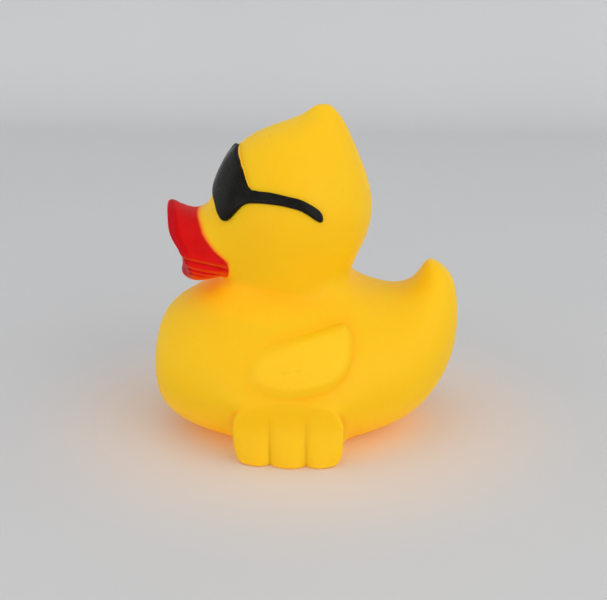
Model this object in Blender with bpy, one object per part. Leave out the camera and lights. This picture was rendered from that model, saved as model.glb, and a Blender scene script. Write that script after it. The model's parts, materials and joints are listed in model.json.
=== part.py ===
"""A rubber duck in moulded sunglasses: one hollow casting of soft vinyl, with an air hole in its flat sole.

The duck faces -X, its left side is -Y, +Z is up, and the sole stands on z = 0.
The casting starts as one control cage. The body is extruded ring by ring from the breast to the tail,
the head is extruded out of the back, the bill out of the face and the feet out of the flanks.
Subdivision rounds the cage, and grooves part the toes. The wings and the sunglasses are raised on that skin,
and the mouth line and the hollow are cut out of it.
"""

import math

import bmesh
import bpy
from mathutils import Matrix, Vector
from mathutils.bvhtree import BVHTree

MM = 0.001

# Wall of the casting, its sole and its air hole
WALL = 2.0 * MM
SOLE_WALL = 2.4 * MM
AIR_HOLE_DIAMETER = 3.0 * MM
AIR_HOLE_X = 3.4 * MM

# Body
BODY_WIDTH = 63.0 * MM
# Midline sections from the breast to the tail tip, in mm: top (x, z), bottom (x, z), share of the body's width
BODY_RINGS = (
    ((-37.6, 23.8), (-38.0, 8.6), 0.40),
    ((-32.8, 30.9), (-32.8, 1.6), 0.70),
    ((-20.6, 35.5), (-21.1, -2.4), 0.93),
    ((-9.1, 36.5), (-9.1, -3.0), 1.00),
    ((2.4, 36.5), (2.4, -3.0), 1.00),
    ((13.9, 35.4), (13.9, -2.4), 0.92),
    ((22.6, 34.0), (27.6, 2.4), 0.70),
    ((27.2, 36.6), (37.0, 16.6), 0.42),
    ((29.2, 40.6), (38.4, 30.0), 0.24),
    ((31.0, 42.3), (36.2, 38.6), 0.11),
)
# Angles of a body ring's corners, counted from its top down either side, in degrees
BODY_ANGLES = (9.5, 28.5, 58.0, 90.0, 122.0, 158.0)

# Head, which grows out of the back between two rings of the body
HEAD_WIDTH = 39.0 * MM
NECK_RINGS = (2, 3, 4, 5)
NECK_SPOKES = (-2, -1, 1, 2)
# Midline sections from the neck to the crest, in mm: front (x, z), back (x, z), share of the head's width
HEAD_RINGS = (
    ((-20.4, 39.6), (10.2, 39.8), 0.89),
    ((-22.4, 46.6), (14.8, 46.8), 1.00),
    ((-22.8, 55.4), (16.6, 55.4), 1.02),
    ((-21.1, 63.6), (14.2, 63.8), 0.92),
    ((-15.4, 71.4), (11.0, 71.4), 0.66),
    ((-4.6, 75.8), (8.2, 76.8), 0.30),
    ((1.8, 79.2), (6.4, 79.4), 0.10),
)
# Angles of a head ring's corners, counted from the face round either side, in degrees
HEAD_ANGLES = (14.0, 42.0, 75.0, 105.0, 138.0, 166.0)
# How far the corners on the crown lie in from the ring, as a share of its width
CROWN_INSET = 1.0 / 3.0

# Bill, which grows out of the face between three rings of the head. Each step has a row of corners at the chin,
# at the mouth line and on top, the inner corner first: x, half width, z in mm. The last one draws the front in
BILL_LEVELS = (1, 2, 3)
BILL_STEPS = (
    (
        ((-26.6, 4.6, 38.0), (-20.6, 12.4, 38.8)),
        ((-27.6, 4.6, 45.0), (-21.2, 13.6, 43.2)),
        ((-26.8, 3.8, 53.4), (-24.2, 10.2, 50.6)),
    ),
    (
        ((-29.0, 4.6, 37.2), (-24.0, 12.8, 38.2)),
        ((-29.6, 4.6, 44.8), (-25.8, 13.6, 43.4)),
        ((-30.4, 4.0, 54.2), (-28.0, 9.8, 50.8)),
    ),
    (
        ((-31.4, 4.5, 38.0), (-27.2, 12.2, 39.0)),
        ((-32.6, 4.6, 44.8), (-29.2, 12.8, 44.0)),
        ((-34.2, 3.8, 56.4), (-32.4, 10.3, 51.6)),
    ),
    (
        ((-31.0, 3.8, 40.2), (-27.6, 10.6, 40.8)),
        ((-31.8, 4.0, 45.8), (-29.2, 10.8, 45.2)),
        ((-33.6, 3.0, 54.4), (-32.2, 8.6, 50.2)),
    ),
)
# Mouth line: its height and x at the corner of the mouth and its rise towards the tip of the bill
MOUTH_Z = 42.0 * MM
MOUTH_X = -18.5 * MM
MOUTH_SLOPE = 0.235
# The wedge that cuts it: half its width at its back, how deep its edge lies, and the middle that it turns round
MOUTH_WIDTH = 0.9 * MM
MOUTH_DEPTH = 0.7 * MM
MOUTH_CENTRE_X = -20.0 * MM
# Directions in which the mouth line is found, from the tip of the bill, in degrees
MOUTH_ANGLES = (8.0, 22.0, 36.0, 50.0, 63.0, 75.0, 85.0)

# Feet: a pad on each flank, which grows out between the neck's rings. Each step has three rows of corners from
# the top to the floor, each with its reach from the midline and its height in mm
TOE_WIDTH = 8.3 * MM
FOOT_MARGIN = 0.35 * MM
FEET_X = -3.1 * MM
FOOT_SPOKES = (4, 5, 6)
FOOT_STEPS = (
    ((32.2, 15.2), (28.4, 6.4), (14.0, -2.2)),
    ((32.3, 14.2), (31.8, 7.2), (28.0, -2.0)),
    ((32.7, 12.8), (33.8, 7.8), (34.4, -2.0)),
)
# Reach taken back from each corner along the pad, from the front to the rear, and the share of it in each row
FOOT_TAKEN_BACK = (2.4 * MM, 0.5 * MM, -0.2 * MM, 1.2 * MM)
FOOT_ROW_SHARES = (0.3, 0.7, 1.0)
# Grooves between the toes: depth at the floor, height where they fade out, and how round they leave the toes
TOE_GROOVE = 2.4 * MM
TOE_GROOVE_TOP = 13.4 * MM
TOE_SHAPE = (2.6, 4.0)
# The pads lie further from the midline than this
FOOT_INNER = 26.0 * MM

# Wings, low pebbles on the flanks: outline (x, z) in mm from the front round by the top edge
WING_OUTLINE = (
    (-12.7, 22.2),
    (-11.8, 25.0),
    (-9.0, 27.3),
    (-4.4, 28.7),
    (1.2, 29.7),
    (6.8, 30.9),
    (9.8, 31.0),
    (11.4, 28.8),
    (11.4, 25.4),
    (9.9, 21.5),
    (6.4, 18.8),
    (1.5, 17.4),
    (-4.0, 17.0),
    (-9.0, 17.9),
    (-11.9, 19.6),
)
# Sections of a wing from its buried root to its crown: share of the outline, rise over the skin in mm
WING_PROFILE = ((1.0, -1.2), (0.99, 0.25), (0.92, 0.95), (0.72, 1.45), (0.40, 1.70))

# Sunglasses, one band from the end of one arm to the other: angle from the face in degrees, lower edge z,
# upper edge z and rise over the skin in mm
HEAD_AXIS_X = -3.6 * MM
GLASSES_SECTIONS = (
    (3.0, 62.2, 68.6, 0.5),
    (8.0, 61.4, 69.6, 0.8),
    (14.0, 60.0, 69.9, 1.0),
    (22.0, 58.4, 69.3, 1.1),
    (31.0, 56.4, 68.4, 1.1),
    (38.0, 54.6, 67.6, 1.1),
    (43.0, 54.2, 66.9, 1.1),
    (49.0, 56.0, 65.7, 1.0),
    (55.7, 58.2, 63.6, 0.7),
    (61.0, 59.0, 62.1, 0.6),
    (74.0, 59.3, 61.9, 0.6),
    (87.0, 58.9, 61.3, 0.6),
    (100.0, 57.7, 60.2, 0.6),
    (109.0, 55.6, 58.7, 0.6),
    (113.5, 54.9, 57.4, 0.5),
)
# The upper edge of the right lens is this much lower, up to where the arm starts, in degrees
RIGHT_LENS_DROP = 1.2 * MM
LENS_END = 55.0
# Corners of a section of the band: share of the way up it, and share of its rise, or of its root where below zero
GLASSES_PROFILE = ((0.0, -1.0), (0.0, 0.8), (0.25, 1.0), (0.75, 1.0), (1.0, 0.8), (1.0, -1.0))
GLASSES_ROOT = 1.0 * MM

# Rays at the skin start this far out, and helper blocks are this wide and reach this far below the floor
CAST_FROM = 80.0 * MM
BLOCK_WIDTH = 190.0 * MM
FLOOR_DEPTH = 20.0 * MM
AIR_HOLE_CUT = 10.0 * MM
AIR_HOLE_SIDES = 24
SKIN_LEVELS = 2
HOLLOW_LEVELS = 1

# Corners of a cage sit outside the smooth ring that subdivision makes of them, by this factor for 12 corners
CORNERS = 12
SWELL = 3.0 / (2.0 + math.cos(2.0 * math.pi / CORNERS))


def ring_corner(ring, width, angle, side):
    """Point of a ring at an angle from its first midline point, on the left (-1) or the right (+1)."""
    first, last, share = ring
    first = Vector((first[0], 0.0, first[1])) * MM
    last = Vector((last[0], 0.0, last[1])) * MM
    turn = math.radians(angle)
    across = Vector((0.0, side * share * width / 2.0 * math.sin(turn), 0.0))
    along = (first - last) / 2.0 * math.cos(turn)
    return (first + last) / 2.0 + SWELL * (along + across)


class Cage:
    """A mesh that grows by extruding faces. Its corners carry the ring, spoke and level that they belong to."""

    def __init__(self):
        self.bm = bmesh.new()
        layers = self.bm.verts.layers
        self.ring = layers.int.new("ring")
        self.spoke = layers.int.new("spoke")
        self.level = layers.int.new("level")
        self.bill = layers.float.new("bill")

    def faces(self, rings=None, spokes=None, levels=None):
        """The faces whose corners all have one of these rings, spokes and levels."""
        asked = ((self.ring, rings), (self.spoke, spokes), (self.level, levels))
        return [
            face
            for face in self.bm.faces
            if all(
                allowed is None or all(corner[layer] in allowed for corner in face.verts)
                for layer, allowed in asked
            )
        ]

    def grow(self, faces, place, ring=None, level=None, bill=None):
        """Extrudes faces as one piece, moves each new corner to place(corner) and returns the new faces."""
        made = bmesh.ops.extrude_face_region(self.bm, geom=faces)["geom"]
        bmesh.ops.delete(self.bm, geom=faces, context="FACES")
        for corner in [item for item in made if isinstance(item, bmesh.types.BMVert)]:
            corner.co = place(corner)
            if ring is not None:
                corner[self.ring] = ring
            if level is not None:
                corner[self.level] = level
            if bill is not None:
                corner[self.bill] = bill
        return [item for item in made if isinstance(item, bmesh.types.BMFace)]


def add_body(cage, rings):
    """The body: a ring of corners at the breast, extruded through the other rings to the tail."""
    circle = bmesh.ops.create_circle(cage.bm, cap_ends=True, segments=CORNERS, radius=1.0)
    spokes = (1, 2, 3, 4, 5, 6, -6, -5, -4, -3, -2, -1)
    for corner, spoke in zip(circle["verts"], spokes):
        corner[cage.spoke] = spoke

    def place_on(ring):
        def place(corner):
            spoke = corner[cage.spoke]
            angle = BODY_ANGLES[abs(spoke) - 1]
            return ring_corner(ring, BODY_WIDTH, angle, math.copysign(1, spoke))

        return place

    for corner in circle["verts"]:
        corner.co = place_on(rings[0])(corner)
    cap = list(cage.bm.faces)
    for number, ring in enumerate(rings[1:], start=1):
        cap = cage.grow(cap, place_on(ring), ring=number)
    bmesh.ops.holes_fill(cage.bm, edges=cage.bm.edges)


def add_head(cage, rings):
    """The head: nine faces of the back, extruded through the head's rings to the crest."""

    def angle_of(corner):
        outer = abs(corner[cage.spoke]) == 2
        place_in_row = NECK_RINGS.index(corner[cage.ring])
        return HEAD_ANGLES[(1, 2, 3, 4)[place_in_row] if outer else (0, 2, 3, 5)[place_in_row]]

    def place_on(ring):
        def place(corner):
            side = math.copysign(1, corner[cage.spoke])
            point = ring_corner(ring, HEAD_WIDTH, angle_of(corner), side)
            inner = abs(corner[cage.spoke]) == 1 and corner[cage.ring] in NECK_RINGS[1:3]
            if not inner:
                return point
            far = ring_corner(ring, HEAD_WIDTH, angle_of(corner), -side)
            return point.lerp(far, CROWN_INSET)

        return place

    cap = cage.faces(rings=NECK_RINGS, spokes=NECK_SPOKES, levels=(0,))
    for number, ring in enumerate(rings, start=1):
        cap = cage.grow(cap, place_on(ring), level=number)


def add_bill(cage):
    """The bill: six faces of the face, extruded step by step to the lip and then in behind it."""
    bill = cage.faces(rings=NECK_RINGS[:1], spokes=NECK_SPOKES, levels=BILL_LEVELS)
    for rows in BILL_STEPS:

        def place(corner):
            spoke = corner[cage.spoke]
            x, half_width, z = rows[BILL_LEVELS.index(corner[cage.level])][abs(spoke) - 1]
            return Vector((x, math.copysign(half_width, spoke), z)) * MM

        bill = cage.grow(bill, place, bill=1.0)


def add_feet(cage):
    """The feet: six faces low on each flank, extruded together as a pad."""
    half = 1.5 * TOE_WIDTH + FOOT_MARGIN
    columns = (-half, -0.5 * TOE_WIDTH, 0.5 * TOE_WIDTH, half)
    for side in (-1, 1):
        spokes = [spoke * side for spoke in FOOT_SPOKES]
        pad = cage.faces(rings=NECK_RINGS, spokes=spokes, levels=(0,))
        for rows in FOOT_STEPS:

            def place(corner):
                column = NECK_RINGS.index(corner[cage.ring])
                row = FOOT_SPOKES.index(abs(corner[cage.spoke]))
                reach = rows[row][0] * MM - FOOT_TAKEN_BACK[column] * FOOT_ROW_SHARES[row]
                return Vector((FEET_X + columns[column], side * reach, rows[row][1] * MM))

            pad = cage.grow(pad, place)


def carve_toes(bm):
    """Sinks two grooves into each foot, so that three round toes are left."""

    def from_groove(corner):
        return abs(abs(corner.co.x - FEET_X) - TOE_WIDTH / 2.0)

    def on_foot(corner):
        return abs(corner.co.y) > FOOT_INNER and -TOE_GROOVE < corner.co.z < TOE_GROOVE_TOP

    on_line, across = TOE_WIDTH / 16.0, TOE_WIDTH / 8.0
    beside = [
        edge
        for edge in bm.edges
        if all(on_foot(corner) for corner in edge.verts)
        and min(from_groove(corner) for corner in edge.verts) < on_line
        and abs(edge.verts[0].co.x - edge.verts[1].co.x) > across
    ]
    bmesh.ops.subdivide_edges(bm, edges=beside, cuts=1)
    for corner in bm.verts:
        if not on_foot(corner) or abs(corner.co.x - FEET_X) > TOE_WIDTH:
            continue
        height = max(corner.co.z, 0.0) / TOE_GROOVE_TOP
        share = max(0.0, 1.0 - from_groove(corner) / (TOE_WIDTH / 2.0))
        power = TOE_SHAPE[0] + (TOE_SHAPE[1] - TOE_SHAPE[0]) * height
        depth = TOE_GROOVE * (1.0 - height**2)
        corner.co.y -= math.copysign(depth * (1.0 - math.sqrt(1.0 - share**power)), corner.co.y)


def rounded_skin(bill_paint):
    """The cage of the whole outside, rounded by subdivision, with the toes parted."""
    cage = Cage()
    add_body(cage, BODY_RINGS)
    add_head(cage, HEAD_RINGS)
    add_bill(cage)
    add_feet(cage)
    control = object_from(cage.bm, "control_cage", ())
    subdivide(control, SKIN_LEVELS)
    finished = control.evaluated_get(bpy.context.evaluated_depsgraph_get())
    bm = bmesh.new()
    bm.from_mesh(finished.to_mesh())
    bpy.data.objects.remove(control)
    bill = bm.verts.layers.float["bill"]
    for face in bm.faces:
        if min(corner[bill] for corner in face.verts) > 0.0:
            face.material_index = bill_paint
    carve_toes(bm)
    return bm


def build_hollow():
    """The cage of the hollow: body and head drawn in by the wall, without the tips of the tail and the crest."""
    cage = Cage()
    add_body(cage, BODY_RINGS[:-1])
    add_head(cage, HEAD_RINGS[:-1])
    bmesh.ops.recalc_face_normals(cage.bm, faces=cage.bm.faces)
    cage.bm.normal_update()
    inner = [corner.co - corner.normal * corner.calc_shell_factor() * WALL for corner in cage.bm.verts]
    for corner, place in zip(cage.bm.verts, inner):
        corner.co = place
    return cage.bm


def skin_of(obj):
    """The subdivided surface of an object, to cast rays at."""
    graph = bpy.context.evaluated_depsgraph_get()
    return BVHTree.FromObject(obj, graph)


def on_head(skin, angle, z, height):
    """Point of the head's skin at an angle from the face and a height z, raised along the skin's normal."""
    turn = math.radians(angle)
    outwards = Vector((-math.cos(turn), math.sin(turn), 0.0))
    axis = Vector((HEAD_AXIS_X, 0.0, z))
    point, normal, _, _ = skin.ray_cast(axis + outwards * CAST_FROM, -outwards)
    return point + normal * height


def on_flank(skin, x, z, side, height):
    """Point of the body's flank at x and z, on the left (-1) or the right (+1), raised along the skin's normal."""
    far = Vector((x, side * CAST_FROM, z))
    point, normal, _, _ = skin.ray_cast(far, Vector((0.0, -side, 0.0)))
    return point + normal * height


def glasses_from(skin):
    """Lenses, bridge and arms: one band across the face, lofted through sections that lie on the head's skin."""
    left = [(-angle, low, high, height) for angle, low, high, height in reversed(GLASSES_SECTIONS)]
    bm = bmesh.new()
    sections = []
    for angle, low, high, height in left + list(GLASSES_SECTIONS):
        if 0.0 < angle < LENS_END:
            high -= RIGHT_LENS_DROP / MM
        section = []
        for share, lift in GLASSES_PROFILE:
            z = (low + (high - low) * share) * MM
            rise = height * MM * lift if lift > 0.0 else lift * GLASSES_ROOT
            section.append(bm.verts.new(on_head(skin, angle, z, rise)))
        sections.append(section)
    loft(bm, sections)
    return bm


def mouth_from(skin):
    """The cutter of the mouth line: a thin wedge that runs round the bill, its edge sunk into the skin."""
    bm = bmesh.new()
    tilt = Vector((-1.0, 0.0, MOUTH_SLOPE)).normalized()
    centre = Vector((MOUTH_CENTRE_X, 0.0, MOUTH_Z + (MOUTH_X - MOUTH_CENTRE_X) * MOUTH_SLOPE))
    sections = []
    for angle in [-each for each in reversed(MOUTH_ANGLES)] + list(MOUTH_ANGLES):
        turn = math.radians(angle)
        outwards = tilt * math.cos(turn) + Vector((0.0, math.sin(turn), 0.0))
        point, _, _, _ = skin.ray_cast(centre + outwards * CAST_FROM, -outwards)
        edge = point - outwards * MOUTH_DEPTH
        mouth = point + outwards * MOUTH_DEPTH
        half = Vector((0.0, 0.0, MOUTH_WIDTH))
        sections.append([bm.verts.new(place) for place in (edge, mouth - half, mouth + half)])
    loft(bm, sections)
    return bm


def wing_from(skin, side):
    """A wing: a low pebble on the flank, lofted through smaller and smaller copies of its outline."""
    centre = sum((Vector(corner) for corner in WING_OUTLINE), Vector((0.0, 0.0))) / len(WING_OUTLINE)
    bm = bmesh.new()
    sections = []
    for share, rise in WING_PROFILE:
        section = []
        for corner in WING_OUTLINE:
            x, z = (centre + (Vector(corner) - centre) * share) * MM
            section.append(bm.verts.new(on_flank(skin, x, z, side, rise * MM)))
        sections.append(section)
    loft(bm, sections)
    return bm


def loft(bm, sections):
    """Joins closed sections, each with the same number of corners, and caps both ends."""
    for section, after in zip(sections, sections[1:]):
        for here, following in zip(range(len(section)), [*range(1, len(section)), 0]):
            bm.faces.new((section[here], section[following], after[following], after[here]))
    bm.faces.new(sections[0])
    bm.faces.new(sections[-1])


def material(name, colour, roughness):
    made = bpy.data.materials.new(name)
    made.use_nodes = True
    shader = made.node_tree.nodes["Principled BSDF"]
    shader.inputs["Base Color"].default_value = (*colour, 1.0)
    shader.inputs["Roughness"].default_value = roughness
    return made


def object_from(bm, name, materials, paint=None):
    bmesh.ops.recalc_face_normals(bm, faces=bm.faces)
    if paint is not None:
        for face in bm.faces:
            face.material_index = paint
    mesh = bpy.data.meshes.new(name)
    bm.to_mesh(mesh)
    bm.free()
    for each in materials:
        mesh.materials.append(each)
    mesh.shade_smooth()
    obj = bpy.data.objects.new(name, mesh)
    bpy.context.scene.collection.objects.link(obj)
    return obj


def block(name, bottom, top):
    """A slab wider than the duck, between two heights."""
    bm = bmesh.new()
    bmesh.ops.create_cube(bm, size=1.0)
    size = Vector((BLOCK_WIDTH, BLOCK_WIDTH, top - bottom))
    for corner in bm.verts:
        corner.co = corner.co * size + Vector((0.0, 0.0, (top + bottom) / 2.0))
    return object_from(bm, name, ())


def air_hole():
    bm = bmesh.new()
    bmesh.ops.create_cone(
        bm,
        cap_ends=True,
        segments=AIR_HOLE_SIDES,
        radius1=AIR_HOLE_DIAMETER / 2.0,
        radius2=AIR_HOLE_DIAMETER / 2.0,
        depth=AIR_HOLE_CUT,
        matrix=Matrix.Translation((AIR_HOLE_X, 0.0, 0.0)),
    )
    return object_from(bm, "air_hole_cutter", ())


def subdivide(obj, levels):
    modifier = obj.modifiers.new("round", "SUBSURF")
    modifier.levels = levels
    modifier.render_levels = levels


def combine(obj, operation, other):
    """Joins a helper object to obj or cuts it out of obj, and leaves the helper out of the render."""
    modifier = obj.modifiers.new(other.name, "BOOLEAN")
    modifier.operation = operation
    modifier.solver = "EXACT"
    modifier.object = other
    other.hide_render = True
    other.display_type = "WIRE"


def main():
    for obj in list(bpy.data.objects):
        bpy.data.objects.remove(obj)

    yellow = material("yellow_vinyl", (0.95, 0.52, 0.03), 0.42)
    red = material("red_bill_paint", (0.62, 0.01, 0.01), 0.38)
    black = material("black_glasses_paint", (0.012, 0.012, 0.013), 0.35)
    paints = (yellow, red, black)
    duck = object_from(rounded_skin(paints.index(red)), "duck", paints)
    skin = skin_of(duck)

    for side, name in ((-1, "wing_left_relief"), (1, "wing_right_relief")):
        combine(duck, "UNION", object_from(wing_from(skin, side), name, paints))
    glasses = object_from(glasses_from(skin), "glasses_relief", paints, paint=paints.index(black))
    combine(duck, "UNION", glasses)
    combine(duck, "DIFFERENCE", object_from(mouth_from(skin), "mouth_cutter", paints, paint=paints.index(red)))
    combine(duck, "DIFFERENCE", block("floor_cutter", -FLOOR_DEPTH, 0.0))

    hollow = object_from(build_hollow(), "hollow_cutter", ())
    subdivide(hollow, HOLLOW_LEVELS)
    combine(hollow, "DIFFERENCE", block("sole_keeper", -FLOOR_DEPTH, SOLE_WALL))
    combine(duck, "DIFFERENCE", hollow)
    combine(duck, "DIFFERENCE", air_hole())


main()
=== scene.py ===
"""The looks of a rubber duck in moulded sunglasses, dressed over its packed casting.

The duck faces -X, its left side is -Y and its sole stands on z = 0, as in the frame.
The skin is one smooth mesh: a control cage grown ring by ring, then rounded by subdivision. The folds of
the mouth, the wings, the toes, the flat sole and the air hole are shaped into it. The sunglasses are a
painted relief that lies on the skin. Tables of places are in mm.
"""

import json
import math

import bmesh
import bpy
import numpy as np
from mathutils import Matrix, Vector
from mathutils.bvhtree import BVHTree
from mathutils.interpolate import poly_3d_calc

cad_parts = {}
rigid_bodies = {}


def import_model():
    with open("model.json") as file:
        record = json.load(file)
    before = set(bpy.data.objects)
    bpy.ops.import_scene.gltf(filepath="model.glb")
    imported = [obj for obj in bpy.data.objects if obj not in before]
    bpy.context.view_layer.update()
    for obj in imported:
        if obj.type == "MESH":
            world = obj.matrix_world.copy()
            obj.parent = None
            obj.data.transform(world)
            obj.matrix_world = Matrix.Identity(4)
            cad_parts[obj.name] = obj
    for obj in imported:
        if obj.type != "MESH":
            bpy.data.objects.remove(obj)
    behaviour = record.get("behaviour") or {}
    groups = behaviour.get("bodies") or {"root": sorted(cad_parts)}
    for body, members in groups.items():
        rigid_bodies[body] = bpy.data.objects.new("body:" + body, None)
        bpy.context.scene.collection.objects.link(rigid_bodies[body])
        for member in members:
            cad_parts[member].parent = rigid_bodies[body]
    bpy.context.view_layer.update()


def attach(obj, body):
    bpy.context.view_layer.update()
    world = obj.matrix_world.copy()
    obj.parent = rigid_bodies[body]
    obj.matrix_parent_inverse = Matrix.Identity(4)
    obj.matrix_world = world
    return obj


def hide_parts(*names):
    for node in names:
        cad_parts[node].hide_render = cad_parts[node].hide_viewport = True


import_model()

MM = 0.001

# Body: midline sections from the breast to the tail tip, in mm: top (x, z), bottom (x, z), share of width
BODY_WIDTH = 63.0 * MM
BODY_RINGS = (
    ((-37.6, 23.8), (-37.6, 8.2), 0.40),
    ((-32.8, 30.9), (-32.2, 1.0), 0.70),
    ((-20.6, 35.5), (-21.1, -2.4), 0.93),
    ((-9.1, 36.5), (-9.1, -3.0), 1.00),
    ((2.4, 36.5), (2.4, -3.0), 1.00),
    ((13.9, 34.8), (13.9, -2.4), 0.92),
    ((22.6, 33.1), (28.2, 1.6), 0.70),
    ((27.2, 36.0), (37.8, 15.6), 0.42),
    ((29.1, 40.0), (38.3, 30.0), 0.25),
    ((30.6, 41.9), (36.4, 38.6), 0.14),
)
BODY_ANGLES = (9.5, 28.5, 58.0, 90.0, 122.0, 158.0)

# Head, which grows out of the back. Sections from the neck to the crest, in mm: front (x, z), back (x, z)
# and share of the width
HEAD_WIDTH = 39.0 * MM
NECK_RINGS = (2, 3, 4, 5)
NECK_SPOKES = (-2, -1, 1, 2)
HEAD_RINGS = (
    ((-20.4, 39.6), (9.9, 38.6), 0.89),
    ((-22.4, 46.6), (14.8, 46.8), 1.00),
    ((-22.8, 55.4), (16.6, 55.4), 1.02),
    ((-21.1, 63.6), (14.2, 63.8), 0.92),
    ((-15.4, 71.4), (11.0, 71.4), 0.66),
    ((-6.0, 74.8), (8.8, 76.0), 0.40),
    ((-0.8, 76.7), (7.2, 77.9), 0.21),
    ((2.2, 79.2), (5.6, 79.4), 0.08),
)
HEAD_ANGLES = (14.0, 42.0, 75.0, 105.0, 138.0, 166.0)

# Bill, which grows out of the face. Each step has a row of corners at the chin, at the mouth line and on
# top, the inner corner first: x, half width, z in mm. From the third step on the front is drawn in behind
# the lip
BILL_LEVELS = (1, 2, 3)
BILL_STEPS = (
    (
        ((-26.6, 4.6, 38.0), (-20.6, 12.4, 38.8)),
        ((-27.6, 4.6, 45.0), (-21.2, 13.6, 43.2)),
        ((-26.8, 3.8, 53.4), (-24.2, 10.2, 50.6)),
    ),
    (
        ((-29.0, 4.6, 37.2), (-24.0, 12.8, 38.2)),
        ((-29.2, 4.6, 44.6), (-25.4, 13.4, 43.4)),
        ((-30.4, 4.0, 54.2), (-28.0, 9.8, 50.8)),
    ),
    (
        ((-30.8, 4.5, 38.0), (-26.6, 12.2, 39.0)),
        ((-31.9, 4.6, 44.9), (-28.4, 12.8, 44.0)),
        ((-33.0, 3.8, 56.2), (-31.2, 10.3, 51.4)),
    ),
    (
        ((-31.0, 4.2, 39.2), (-27.0, 11.6, 39.9)),
        ((-32.2, 4.3, 45.3), (-29.0, 11.9, 44.6)),
        ((-34.0, 3.5, 55.8), (-32.4, 9.7, 51.2)),
    ),
    (
        ((-30.4, 3.8, 40.4), (-27.0, 10.6, 40.9)),
        ((-31.0, 4.0, 45.9), (-28.6, 10.8, 45.4)),
        ((-32.9, 3.0, 54.6), (-31.8, 8.6, 50.4)),
    ),
)
# Mouth line, in mm: height at the corner of the mouth, its x, and the rise per mm towards the tip
MOUTH_CORNER = (42.0, -18.5)
MOUTH_RISE = 0.20
# Corners, in mm, of the box round the bill, and the cuts that make its faces finer for the folds
BILL_BOX = ((-36.0, -16.0, 35.0), (-17.0, 16.0, 58.0))
BILL_CUTS = 2
# Beads and grooves along the mouth line, in mm: height over the line, swell, half width
MOUTH_RIPPLES = (
    (1.5, 0.45, 0.8),
    (0.2, -0.50, 0.32),
    (-0.7, 0.22, 0.5),
    (-1.8, -0.30, 0.24),
    (-2.9, -0.20, 0.22),
)
# Step of the bill where they end
RIPPLES_END = 3.0
# Fine groove round the edge of the upper lip: how deep, and its half width as a share of a bill step
LIP_GROOVE = 0.45 * MM
LIP_GROOVE_WIDTH = 0.16
LIP_GROOVE_STEP = 2.55
# Height, in mm, where the groove has faded out, and the length of its fade at either end
LIP_GROOVE_TOP = 55.0
LIP_GROOVE_FADE = 2.0
# Forward swell of the upper lip, its height and half width in mm, and the steps over which it comes in
LIP_SWELL = 0.75 * MM
LIP_SWELL_HEIGHT = (49.6, 3.2)
LIP_SWELL_STEPS = (1.5, 3.0)
# The red paint begins at this share of the way out on the bill, which counts as so many mm
PAINT_ROOT = (0.15, 14.0)
# Rear limit of the red paint, in mm: height z, x
PAINT_EDGE = (
    (34.0, -22.6),
    (36.5, -21.2),
    (38.5, -18.6),
    (40.5, -17.1),
    (42.3, -16.9),
    (44.1, -17.9),
    (46.3, -20.5),
    (47.8, -22.0),
    (50.0, -23.7),
    (52.1, -24.7),
    (54.2, -26.1),
    (58.0, -27.5),
)

# Feet: a pad on each flank, cut into three toes. Each step of the pad has three rows of corners, from the
# top to the floor, by their reach from the midline and their height in mm
TOE_WIDTH = 8.3 * MM
# Middle of the feet, and what a foot is longer than its toes at either end
FEET_X = -3.1 * MM
FOOT_MARGIN = 0.35 * MM
FOOT_SPOKES = (4, 5, 6)
FOOT_STEPS = (
    ((32.9, 15.8), (28.6, 6.4), (14.0, -2.2)),
    ((33.0, 14.8), (32.0, 7.0), (28.0, -2.0)),
    ((33.0, 13.0), (33.6, 7.6), (34.4, -2.0)),
)
# Reach taken back from each corner along the pad, from front to rear, and the share of it in each row
FOOT_TAKEN_BACK = (2.4 * MM, 0.5 * MM, -0.2 * MM, 1.2 * MM)
FOOT_ROW_SHARES = (0.1, 0.7, 1.0)
# Box round the toes of a foot, in mm: x, reach from the midline, z
TOE_BOX = ((-17.0, 11.0), (26.0, 38.0), (-4.0, 14.5))
TOE_CUTS = 1
# Depth of the grooves between the toes at the floor, the height where they end, and the power of their fade
TOE_GROOVE = 2.4 * MM
TOE_GROOVE_TOP = 13.4 * MM
TOE_GROOVE_FADE = 1.4
# Power of the curve across a toe, at the floor and at the top of the grooves: 2 is round, more is squarer
TOE_SHAPE = (2.1, 3.2)
# The toes are painted paler where light falls from this reach on, and the painted light comes in over this
# much reach and height
PALE_TOES_REACH = 29.0 * MM
PALE_TOES_FADE = (3.0 * MM, 6.0 * MM)

# Wings, low pebbles on the flanks: outline (x, z) in mm from the front round by the top edge
WING_OUTLINE = (
    (-12.7, 22.2),
    (-11.8, 25.0),
    (-9.0, 27.3),
    (-4.4, 28.7),
    (1.2, 29.7),
    (6.8, 30.9),
    (9.8, 31.0),
    (11.4, 28.8),
    (11.4, 25.4),
    (9.9, 21.5),
    (6.4, 18.8),
    (1.5, 17.4),
    (-4.0, 17.0),
    (-9.0, 17.9),
    (-11.9, 19.6),
)
# Corners, in mm, of the box round the left wing
WING_BOX = ((-18.0, -60.0, 12.0), (16.0, -12.0, 36.0))
WING_CUTS = 2
# Rise of a wing at its front and at its tip, and the width of its shoulder at the soft and at the crisp edge
WING_RISE = (0.7 * MM, 1.5 * MM)
WING_SHOULDER = (3.0 * MM, 2.2 * MM)
# Direction, in x and z, of a wing's crisp edge from its middle
WING_CRISP = (0.64, 0.77)
# Half width of the painted deeper orange shade round a wing, its strength at the soft edge, and what the
# crisp edge adds
WING_PAINTED_SHADE = 1.3 * MM
WING_PAINTED_SHADE_STRENGTH = (0.5, 0.3)

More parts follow.
